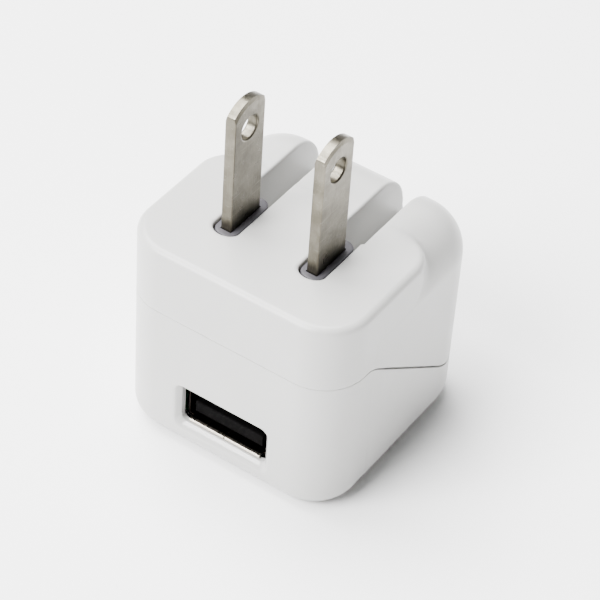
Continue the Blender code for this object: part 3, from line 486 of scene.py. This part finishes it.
def mesh_object(name, distance, vertices, quads):
    """A mesh object whose shading follows the true surface."""
    centres = vertices[quads].mean(axis=1)
    at_centre = gradient(distance, centres)
    at_vertex = gradient(distance, vertices)
    loop_normals = at_vertex[quads].reshape(-1, 3)
    face_normals = np.repeat(at_centre, 4, axis=0)
    apart = np.einsum("ij,ij->i", loop_normals, face_normals) < SOFT_BEND
    corner = vertices[quads].reshape(-1, 3)[apart]
    near = corner + TOWARD_FACE * (np.repeat(centres, 4, axis=0)[apart] - corner)
    at_near = gradient(distance, near)
    differs = np.einsum("ij,ij->i", at_near, loop_normals[apart]) < CREASE
    loop_normals[apart] = np.where(differs[:, None], at_near, loop_normals[apart])
    mesh = bpy.data.meshes.new(name)
    mesh.vertices.add(len(vertices))
    mesh.vertices.foreach_set("co", (vertices * MM).astype(np.float32).ravel())
    mesh.loops.add(quads.size)
    mesh.loops.foreach_set("vertex_index", quads.astype(np.int32).ravel())
    mesh.polygons.add(len(quads))
    mesh.polygons.foreach_set("loop_start", np.arange(0, quads.size, 4, dtype=np.int32))
    mesh.update(calc_edges=True)
    mesh.validate()
    mesh.shade_smooth()
    if len(mesh.loops) == quads.size:
        mesh.normals_split_custom_set(loop_normals)
    piece = bpy.data.objects.new(name, mesh)
    bpy.context.scene.collection.objects.link(piece)
    return piece


# Materials ------------------------------------------------------------------------------

class Surface:
    """A node material built up step by step round one Principled shader."""

    def __init__(self, name):
        self.material = bpy.data.materials.new(name)
        self.material.use_nodes = True
        self.nodes = self.material.node_tree.nodes
        self.links = self.material.node_tree.links
        self.shader = self.nodes["Principled BSDF"]
        self.place = self.nodes.new("ShaderNodeTexCoord").outputs["Object"]
        self.relief = None

    def set(self, **values):
        for key, value in values.items():
            self.shader.inputs[key.replace("_", " ")].default_value = value
        return self

    def stretched(self, scale, turn=(0, 0, 0)):
        mapping = self.nodes.new("ShaderNodeMapping")
        mapping.inputs["Scale"].default_value = scale
        mapping.inputs["Rotation"].default_value = turn
        self.links.new(self.place, mapping.inputs["Vector"])
        return mapping.outputs["Vector"]

    def noise(self, scale, detail=3.0, place=None, distortion=0.0):
        node = self.nodes.new("ShaderNodeTexNoise")
        node.inputs["Scale"].default_value = scale
        node.inputs["Detail"].default_value = detail
        node.inputs["Distortion"].default_value = distortion
        self.links.new(place or self.place, node.inputs["Vector"])
        return node.outputs["Fac"]

    def rings(self, scale, distortion, detail_scale):
        node = self.nodes.new("ShaderNodeTexWave")
        node.wave_type = "RINGS"
        node.rings_direction = "X"
        node.inputs["Scale"].default_value = scale
        node.inputs["Distortion"].default_value = distortion
        node.inputs["Detail Scale"].default_value = detail_scale / scale
        self.links.new(self.place, node.inputs["Vector"])
        return node.outputs["Fac"]

    def spread(self, value, start, end, low, high):
        node = self.nodes.new("ShaderNodeMapRange")
        node.interpolation_type = "SMOOTHSTEP"
        for key, number in (("From Min", start), ("From Max", end), ("To Min", low),
                            ("To Max", high)):
            node.inputs[key].default_value = number
        self.links.new(value, node.inputs["Value"])
        return node.outputs["Result"]

    def along(self, axis, start, end):
        """0 to 1 between two places on one axis of the row frame, in millimetres."""
        split = self.nodes.new("ShaderNodeSeparateXYZ")
        self.links.new(self.place, split.inputs["Vector"])
        return self.spread(split.outputs[axis], start * MM, end * MM, 0.0, 1.0)

    def sum(self, a, b, operation="ADD"):
        node = self.nodes.new("ShaderNodeMath")
        node.operation = operation
        node.use_clamp = True
        for value, socket in ((a, node.inputs[0]), (b, node.inputs[1])):
            if isinstance(value, float):
                socket.default_value = value
            else:
                self.links.new(value, socket)
        return node.outputs["Value"]

    def mix_colour(self, factor, first, second):
        node = self.nodes.new("ShaderNodeMix")
        node.data_type = "RGBA"
        colours = [s for s in node.inputs if s.type == "RGBA"]
        result = [s for s in node.outputs if s.type == "RGBA"][0]
        self.links.new(factor, node.inputs[0])
        for value, socket in zip((first, second), colours):
            if isinstance(value, tuple):
                socket.default_value = (*value, 1.0)
            else:
                self.links.new(value, socket)
        return result

    def colour(self, value):
        self.links.new(value, self.shader.inputs["Base Color"])
        return self

    def roughness(self, value):
        self.links.new(value, self.shader.inputs["Roughness"])
        return self

    def bump(self, value, depth):
        """Relief with a depth in millimetres, on top of any relief already given."""
        node = self.nodes.new("ShaderNodeBump")
        node.inputs["Strength"].default_value = 1.0
        node.inputs["Distance"].default_value = depth * MM
        self.links.new(value, node.inputs["Height"])
        if self.relief:
            self.links.new(self.relief, node.inputs["Normal"])
        self.relief = node.outputs["Normal"]
        self.links.new(self.relief, self.shader.inputs["Normal"])
        return self


def plastic(name, light, dark, rough_low, rough_high, grain=0.004, grain_scale=4000, scale=120):
    """Moulded plastic: faint uneven colour and sheen over a fine grain."""
    s = Surface(name)
    s.colour(s.mix_colour(s.spread(s.noise(scale, 4.0), 0.3, 0.7, 0.0, 1.0), light, dark))
    s.roughness(s.spread(s.noise(scale * 3, 3.0), 0.3, 0.7, rough_low, rough_high))
    s.bump(s.noise(grain_scale, 2.0), grain)
    return s


def drawn_metal(name, rough_low, rough_high, streak):
    """Metal with an uneven polish and fine drawn lines; its colour comes after."""
    s = Surface(name)
    s.set(Metallic=1.0)
    lines = s.noise(2500, 3.0, s.stretched(streak))
    s.roughness(s.spread(lines, 0.3, 0.7, rough_low, rough_high))
    s.bump(lines, 0.003)
    return s


def metal(name, light, dark, rough_low, rough_high, streak):
    """Drawn metal of a mottled tone."""
    s = drawn_metal(name, rough_low, rough_high, streak)
    s.colour(s.mix_colour(s.spread(s.noise(900, 5.0), 0.35, 0.65, 0.0, 1.0), light, dark))
    return s.material


def white_plastic():
    """Satin white plastic, polished on the flare round the port."""
    s = plastic("white_plastic", (0.465, 0.463, 0.451), (0.45, 0.447, 0.435), 0.30, 0.36,
                grain=0.0015, grain_scale=2600, scale=90)
    polish = s.along("Y", FRONT + 0.03, FRONT + 0.12)
    for limit in (s.along("X", -8.4, -8.0), s.along("X", 8.4, 8.0), s.along("Z", 2.95, 3.05),
                  s.along("Z", 12.4, 12.0)):
        polish = s.sum(polish, limit, "MULTIPLY")
    satin = s.shader.inputs["Roughness"].links[0].from_socket
    s.roughness(s.sum(satin, s.sum(polish, 0.19, "MULTIPLY"), "SUBTRACT"))
    s.set(IOR=1.5, Subsurface_Weight=0.12, Subsurface_Radius=(1.0, 0.9, 0.8),
          Subsurface_Scale=0.0006)
    return s.material


def grey_plastic():
    """Satin plastic of the hubs, coloured dark grey as painted shade for the slots they sit in."""
    # Painted shade: the hubs' dark grey colour stands in for the shade in the slots.
    s = plastic("grey_plastic", (0.066, 0.063, 0.070), (0.054, 0.052, 0.058), 0.36, 0.48,
                grain_scale=3000, scale=600)
    s.set(Specular_IOR_Level=0.2)
    return s.material


def nickel_plate():
    """Satin nickel, mottled and scratched by use, with a painted dark brown reflection of the slot's shade where
    it enters the hub.
    """
    s = Surface("nickel_plate")
    s.set(Metallic=1.0)
    cloud = s.spread(s.noise(420, 7.0, distortion=0.4), 0.34, 0.66, 0.0, 1.0)
    worn = s.mix_colour(cloud, (0.138, 0.127, 0.100), (0.098, 0.089, 0.068))
    # Painted reflection: towards the foot the colour turns dark brown, standing in for the slot's shade that the
    # metal reflects.
    foot = s.along("Z", TOP + 4.5, TOP - 0.3)
    tone = s.mix_colour(s.sum(foot, 0.2, "MULTIPLY"), worn, (0.055, 0.045, 0.031))
    fine = s.noise(5200, 3.0, s.stretched((1, 1, 0.12)))
    fine = s.spread(fine, 0.50, 0.72, 0.0, 1.0)
    marks = s.noise(1500, 2.0, s.stretched((1, 0.12, 1.9), (0.7, 0, 0)))
    marks = s.spread(marks, 0.64, 0.69, 0.0, 1.0)
    swirl = s.rings(1900, 9.0, 260)
    patch = s.spread(s.noise(150, 1.0), 0.50, 0.60, 0.0, 1.0)
    swirl = s.sum(swirl, patch, "MULTIPLY")
    scratched = s.sum(s.sum(fine, 0.5, "MULTIPLY"), marks, "MAXIMUM")
    tone = s.mix_colour(s.sum(scratched, 0.32, "MULTIPLY"), tone, (0.26, 0.245, 0.21))
    s.colour(s.mix_colour(s.sum(swirl, 0.3, "MULTIPLY"), tone, (0.24, 0.225, 0.19)))
    s.roughness(s.spread(s.noise(900, 5.0, distortion=1.0), 0.3, 0.7, 0.27, 0.42))
    s.bump(s.noise(2600, 3.0), 0.005)
    s.bump(scratched, 0.003)
    s.bump(swirl, 0.003)
    return s.material


def tinned_steel():
    """Bright where the shell's edge is cut, and painted near black further inside as painted shade."""
    streak = (1, 0.1, 1)
    s = drawn_metal("tinned_steel", 0.24, 0.38, streak)
    drawn = s.noise(1800, 3.0, s.stretched(streak))
    # Painted shade: past the port's mouth the steel's colour turns near black, standing in for the shade deep in
    # the port.
    painted_shade_inside = s.along("Y", FRONT + FUNNEL_DEPTH + 0.15, FRONT + FUNNEL_DEPTH + 0.7)
    bright = s.mix_colour(drawn, (0.80, 0.74, 0.64), (0.62, 0.55, 0.45))
    s.colour(s.mix_colour(painted_shade_inside, bright, (0.012, 0.009, 0.007)))
    return s.material


def black_plastic():
    """Matt black plastic of the tongue, painted darker than its own black as painted shade inside the port."""
    # Painted shade: the base colour is darkened far below black plastic's own colour to stand in for the shade
    # inside the port.
    s = plastic("black_plastic", (0.0018, 0.0016, 0.0017), (0.001, 0.001, 0.001), 0.6, 0.75,
                scale=500)
    s.set(Specular_IOR_Level=0.03)
    return s.material


def winding_tape():
    """Yellow tape with the turns of the winding showing through."""
    s = plastic("winding_tape", (0.86, 0.62, 0.06), (0.78, 0.54, 0.05), 0.28, 0.4, scale=400)
    s.bump(s.noise(700, 1.0, s.stretched((0.2, 3, 0.2))), 0.05)
    return s.material


def board_laminate():
    """Green laminate with a faint glass weave."""
    s = plastic("board_laminate", (0.05, 0.22, 0.09), (0.03, 0.17, 0.06), 0.35, 0.5, scale=500)
    weave = s.noise(900, 1.0, s.stretched((4, 0.5, 1)))
    s.bump(weave, 0.02)
    return s.material


SURFACES = {
    "white_plastic": white_plastic(),
    "grey_plastic": grey_plastic(),
    "inner_plastic": plastic("inner_plastic", (0.72, 0.70, 0.64), (0.66, 0.64, 0.57),
                             0.42, 0.55).material,
    "nickel_plate": nickel_plate(),
    "spring_metal": metal("spring_metal", (0.72, 0.54, 0.35), (0.62, 0.43, 0.27), 0.24, 0.36,
                          (4, 1, 0.2)),
    "tinned_steel": tinned_steel(),
    "black_plastic": black_plastic(),
    "gold_plate": metal("gold_plate", (0.92, 0.68, 0.32), (0.80, 0.56, 0.22), 0.18, 0.3,
                        (1, 0.1, 1)),
    "board_laminate": board_laminate(),
    "ferrite": plastic("ferrite", (0.07, 0.07, 0.075), (0.04, 0.04, 0.045), 0.6, 0.8,
                       grain=0.03, grain_scale=2500, scale=700).material,
    "winding_tape": winding_tape(),
    "capacitor_sleeve": plastic("capacitor_sleeve", (0.05, 0.07, 0.17), (0.035, 0.05, 0.13),
                                0.28, 0.4, scale=300).material,
    "ceramic_blue": plastic("ceramic_blue", (0.08, 0.26, 0.56), (0.06, 0.20, 0.46), 0.3, 0.45,
                            grain=0.02, grain_scale=1500, scale=500).material,
    "resistor_lacquer": plastic("resistor_lacquer", (0.23, 0.42, 0.38), (0.18, 0.34, 0.30),
                                0.4, 0.5, grain=0.015, grain_scale=1500, scale=700).material,
    "epoxy": plastic("epoxy", (0.03, 0.03, 0.033), (0.018, 0.018, 0.02), 0.5, 0.65,
                     grain=0.012, grain_scale=3500, scale=900).material,
    "insulating_film": plastic("insulating_film", (0.80, 0.78, 0.70), (0.74, 0.72, 0.64),
                               0.25, 0.4, scale=200).material,
}

node_slot = {part["node"]: part["material_slot"] for part in frame["record"]["subparts"]}
for node_name, node in frame["nodes"].items():
    for slot in node.material_slots:
        slot.material = SURFACES[node_slot[node_name]]


# Pieces ---------------------------------------------------------------------------------

BOX_MARGIN = 0.5


def add_piece(name, distance, node, body, step, centre=0.0):
    """Makes one outer piece inside its CAD node's box and hangs it on its body."""
    low, high = node_span(node)

    def moved(x, y, z):
        return distance(x - centre, y, z)

    piece = contour(name, moved, low - BOX_MARGIN, high + BOX_MARGIN, step)
    piece.data.materials.append(SURFACES[node_slot[node]])
    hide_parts(node)
    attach(piece, body)


add_piece("case_rear", rear_housing, "rear_housing", "housing", 0.3)
add_piece("case_front", front_housing, "front_housing", "housing", 0.3)
add_piece("hubs", carrier, "blade_carrier", "blades", 0.16)
add_piece("left_blade", blade_shape, "blade_left", "blades", 0.14, centre=-BLADE_X)
add_piece("right_blade", blade_shape, "blade_right", "blades", 0.14, centre=BLADE_X)
add_piece("port_shell", usb_shell, "usb_shell", "housing", 0.12)
add_piece("port_tongue", usb_insulator, "usb_insulator", "housing", 0.15)


# Floor, light and camera ----------------------------------------------------------------

FLOOR_HALF = 2.0
FLOOR_BEND_START = 1.2
FLOOR_BEND_RADIUS = 0.8
FLOOR_BEND_STEPS = 12
FLOOR_WALL_TOP = 2.6
FLOOR_CLEARANCE = 0.00002
STUDIO_GLOW = 0.15
LIGHT_TARGET = (0, 0, 0.02)
CAMERA_PLACE = (122.26, -196.55, 232.12)
CAMERA_FORWARD = (-0.3864, 0.6222, -0.6808)
CAMERA_ROLL = math.radians(4.17)
CAMERA_LENS = 150
CAMERA_SENSOR = 36


def make_floor():
    """A wide pale sheet that curves up behind the object; sizes in metres."""
    profile = [(-FLOOR_HALF, 0.0), (FLOOR_BEND_START, 0.0)]
    for i in range(1, FLOOR_BEND_STEPS + 1):
        turn = math.radians(90 * i / FLOOR_BEND_STEPS)
        profile.append((FLOOR_BEND_START + FLOOR_BEND_RADIUS * math.sin(turn),
                        FLOOR_BEND_RADIUS * (1 - math.cos(turn))))
    profile.append((FLOOR_HALF, FLOOR_WALL_TOP))
    verts = [(x, y, z - FLOOR_CLEARANCE) for y, z in profile for x in (-FLOOR_HALF, FLOOR_HALF)]
    faces = [(2 * i, 2 * i + 1, 2 * i + 3, 2 * i + 2) for i in range(len(profile) - 1)]
    mesh = bpy.data.meshes.new("floor")
    mesh.from_pydata(verts, [], faces)
    mesh.shade_smooth()
    floor = bpy.data.objects.new("floor", mesh)
    bpy.context.scene.collection.objects.link(floor)
    s = Surface("floor_paper")
    s.colour(s.mix_colour(s.noise(3.0, 2.0), (0.96, 0.96, 0.96), (0.94, 0.94, 0.94)))
    s.set(Roughness=0.9)
    mesh.materials.append(s.material)


def add_light(name, place, width, power):
    """A square soft light that faces the object; place and width in metres."""
    data = bpy.data.lights.new(name, "AREA")
    data.shape = "SQUARE"
    data.size = width
    data.energy = power
    light = bpy.data.objects.new(name, data)
    light.location = place
    toward = Vector(LIGHT_TARGET) - Vector(place)
    light.rotation_euler = toward.to_track_quat("-Z", "Y").to_euler()
    bpy.context.scene.collection.objects.link(light)


def add_camera():
    """Looks down at the corner between the port face and the right side."""
    turn = Vector(CAMERA_FORWARD).to_track_quat("-Z", "Y")
    turn = turn @ Quaternion((0, 0, 1), CAMERA_ROLL)
    data = bpy.data.cameras.new("camera")
    data.lens = CAMERA_LENS
    data.sensor_width = CAMERA_SENSOR
    data.clip_start = 0.01
    camera = bpy.data.objects.new("camera", data)
    place = Matrix.Translation(Vector(CAMERA_PLACE) * MM)
    camera.matrix_world = place @ turn.to_matrix().to_4x4()
    bpy.context.scene.collection.objects.link(camera)
    bpy.context.scene.camera = camera


def add_glow():
    """Even white light from all round."""
    world = bpy.data.worlds.new("studio")
    world.use_nodes = True
    background = world.node_tree.nodes["Background"]
    background.inputs["Color"].default_value = (1, 1, 1, 1)
    background.inputs["Strength"].default_value = STUDIO_GLOW
    bpy.context.scene.world = world


make_floor()
add_light("key", (-0.32, -0.70, 0.73), 0.6, 37.0)
add_light("top", (-0.40, 0.10, 0.92), 0.8, 44.0)
add_glow()
add_camera()
